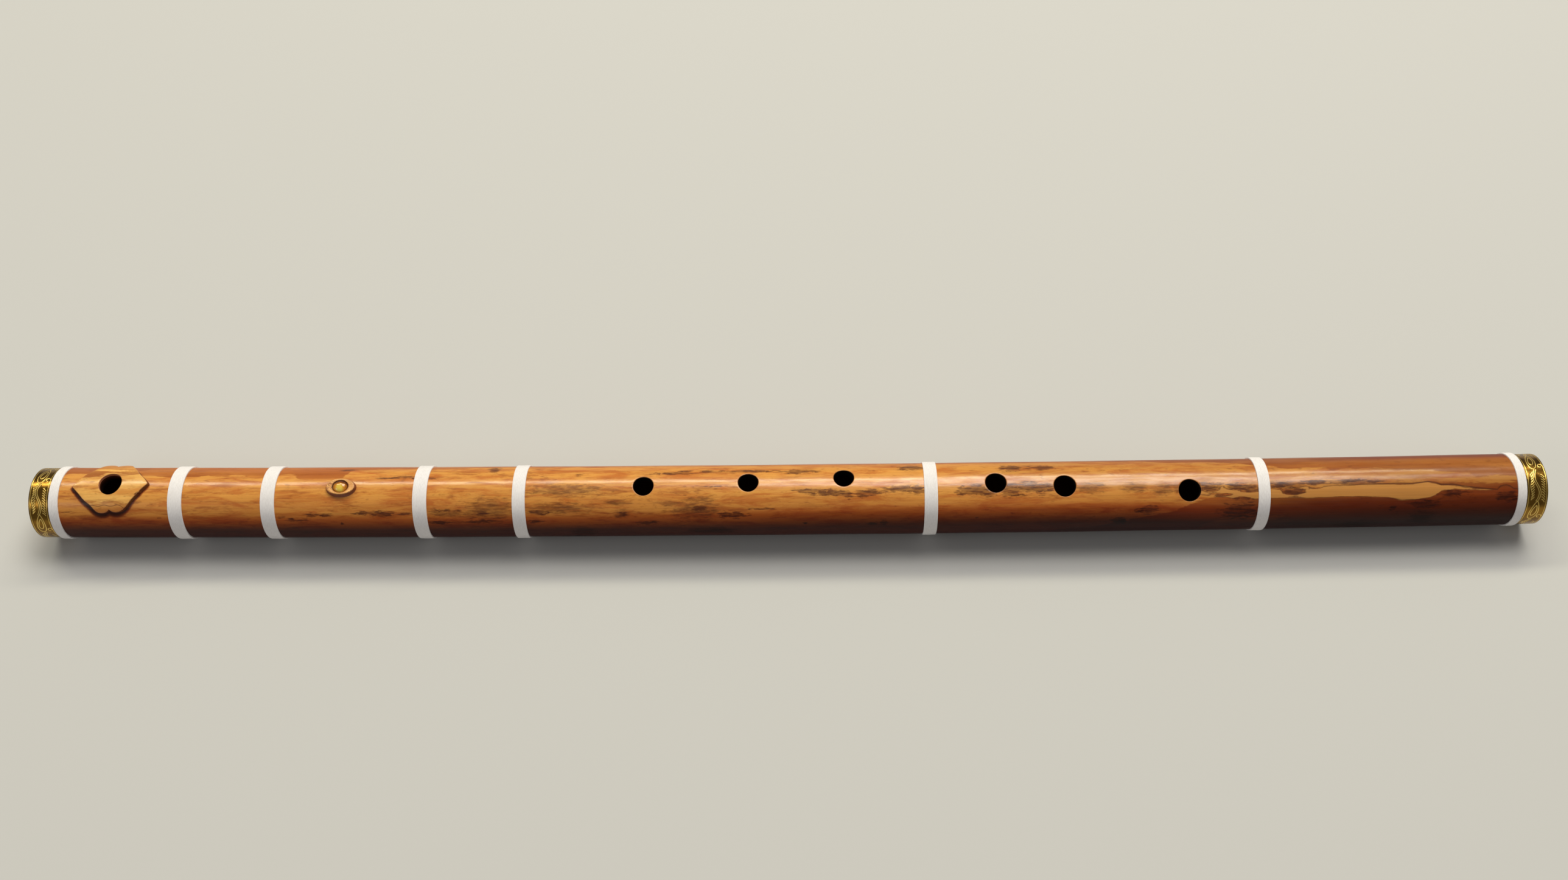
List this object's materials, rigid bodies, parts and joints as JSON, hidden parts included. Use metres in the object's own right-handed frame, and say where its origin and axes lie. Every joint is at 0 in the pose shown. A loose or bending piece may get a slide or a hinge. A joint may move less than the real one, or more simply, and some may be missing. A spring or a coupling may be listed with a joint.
{
  "type": "bansuri",
  "caption": "Bamboo flute blown across a side hole, with a raised lip plate, open finger holes, white thread bindings, a stone in a wooden bezel and engraved brass ferrules.",
  "frame": {"origin": "on the surface that the flute lies on, under the middle of its length and width", "axes": "+X along the flute from the head end to the foot, +Z the way the blowing hole faces, -Y towards the player's fingertips"},
  "size_m": [0.5612, 0.029, 0.0294],
  "materials": {
    "bamboo": "oiled and polished bamboo, amber brown with darker stains",
    "lip_bamboo": "oiled and polished bamboo, golden",
    "carved_wood": "carved wood, satin",
    "amber_glass": "clear golden yellow, polished",
    "white_thread": "fine white thread wound flat",
    "engraved_brass": "engraved brass, polished and lightly tarnished",
    "stopper_cork": "natural cork"
  },
  "bodies": {
    "flute": {"tube": "bamboo", "lip_plate": "lip_bamboo", "gem_bezel": "carved_wood", "gem": "amber_glass", "binding_1": "white_thread", "binding_2": "white_thread", "binding_3": "white_thread", "binding_4": "white_thread", "binding_5": "white_thread", "binding_6": "white_thread", "binding_7": "white_thread", "binding_8": "white_thread", "head_ferrule": "engraved_brass", "foot_ferrule": "engraved_brass"},
    "stopper": {"head_cork": "stopper_cork"}
  },
  "joints": [
    {"name": "stopper_slide", "type": "slide", "parent": "flute", "child": "stopper", "axis": [1, 0, 0], "range_m": [-0.002, 0.006]}
  ]
}
